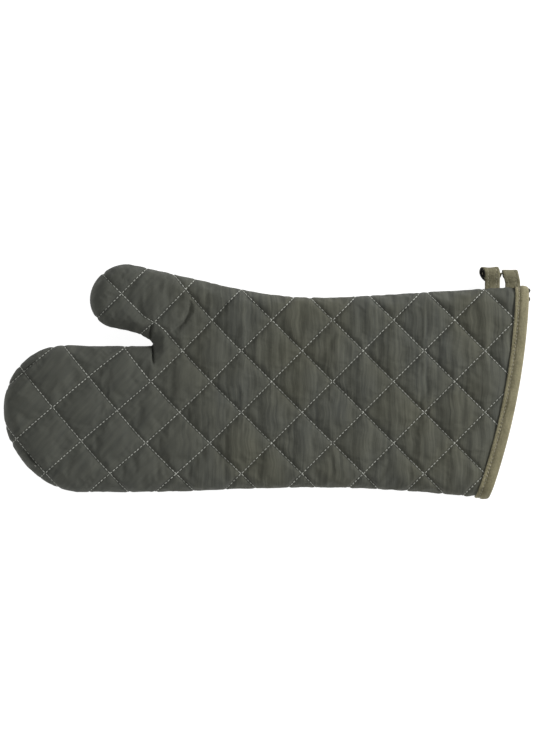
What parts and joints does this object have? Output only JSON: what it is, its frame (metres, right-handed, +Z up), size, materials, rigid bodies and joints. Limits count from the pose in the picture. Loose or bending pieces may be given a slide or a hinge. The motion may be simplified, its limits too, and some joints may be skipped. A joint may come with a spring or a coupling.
{
  "type": "oven mitt",
  "caption": "Long quilted oven mitt with a thumb, padded palm and back panels, folded cuff binding and a tape hanging loop; the fingers, thumb and loop fold.",
  "frame": {"origin": "bottom centre of the bounding box, with the mitt lying flat, palm side up", "axes": "+X from the finger tips to the open cuff, +Y towards the thumb side, +Z up out of the palm"},
  "size_m": [0.432, 0.1934, 0.0262],
  "materials": {
    "mitt_cloth": "matte grey-olive treated cotton twill",
    "wadding": "loose off-white cotton and polyester wadding",
    "lining": "plain woven cotton lining",
    "binding_tape": "matte khaki cotton tape",
    "quilting_thread": "pale grey spun thread",
    "binding_thread": "khaki spun thread",
    "seam_thread": "dark grey spun thread"
  },
  "bodies": {
    "hand": {"palm_face_fabric_hand": "mitt_cloth", "palm_wadding_hand": "wadding", "palm_lining_hand": "lining", "back_face_fabric_hand": "mitt_cloth", "back_wadding_hand": "wadding", "back_lining_hand": "lining", "palm_quilting_thread_hand": "quilting_thread", "back_quilting_thread_hand": "quilting_thread", "side_seam_thread_hand": "seam_thread", "cuff_binding": "binding_tape", "binding_thread": "binding_thread", "hanging_loop_ends": "binding_tape"},
    "fingers": {"palm_face_fabric_fingers": "mitt_cloth", "palm_wadding_fingers": "wadding", "palm_lining_fingers": "lining", "back_face_fabric_fingers": "mitt_cloth", "back_wadding_fingers": "wadding", "back_lining_fingers": "lining", "palm_quilting_thread_fingers": "quilting_thread", "back_quilting_thread_fingers": "quilting_thread", "side_seam_thread_fingers": "seam_thread"},
    "thumb": {"palm_face_fabric_thumb": "mitt_cloth", "palm_wadding_thumb": "wadding", "palm_lining_thumb": "lining", "back_face_fabric_thumb": "mitt_cloth", "back_wadding_thumb": "wadding", "back_lining_thumb": "lining", "palm_quilting_thread_thumb": "quilting_thread", "back_quilting_thread_thumb": "quilting_thread", "side_seam_thread_thumb": "seam_thread"},
    "loop": {"hanging_loop": "binding_tape", "loop_thread": "binding_thread"}
  },
  "joints": [
    {"name": "finger_fold", "type": "hinge", "parent": "hand", "child": "fingers", "pos_m": [-0.115, -0.031, 0.01], "axis": [0, 1, 0], "range_deg": [0, 50], "stiffness_Nm_per_rad": 0.05},
    {"name": "thumb_fold", "type": "hinge", "parent": "hand", "child": "thumb", "pos_m": [-0.10844, 0.04029, 0.01], "axis": [0.2079, 0.9781, 0], "range_deg": [0, 45], "stiffness_Nm_per_rad": 0.01},
    {"name": "loop_swing", "type": "hinge", "parent": "hand", "child": "loop", "pos_m": [0.1951, 0.08005, 0.01], "axis": [1, 0, 0], "range_deg": [0, 60]}
  ]
}
